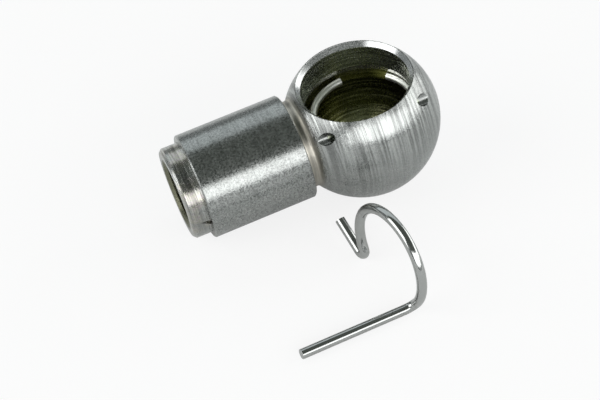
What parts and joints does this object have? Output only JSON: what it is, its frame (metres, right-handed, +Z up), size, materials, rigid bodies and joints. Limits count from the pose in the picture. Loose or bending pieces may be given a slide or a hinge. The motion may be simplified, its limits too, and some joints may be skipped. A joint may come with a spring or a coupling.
{
  "type": "angle ball joint socket",
  "caption": "Steel ball socket of an angle joint, with a turned round head, neck and threaded shank, a snap ring in its bore and a bent wire safety clip lying beside it.",
  "frame": {"origin": "centre of the ball's seat in the socket's head", "axes": "+Z up from the surface that the part lies on; the shank runs towards -X, tipped down a little; the clip lies on the -Y side"},
  "size_m": [0.0342, 0.0349, 0.0168],
  "materials": {
    "plated_steel": "turned steel, bright zinc plated, with fine turning marks",
    "ring_wire": "drawn spring wire, zinc plated, satin",
    "clip_wire": "drawn spring wire, zinc plated, bright"
  },
  "bodies": {
    "root": {"ball_socket": "plated_steel", "snap_ring": "ring_wire", "safety_clip": "clip_wire"}
  },
  "joints": []
}
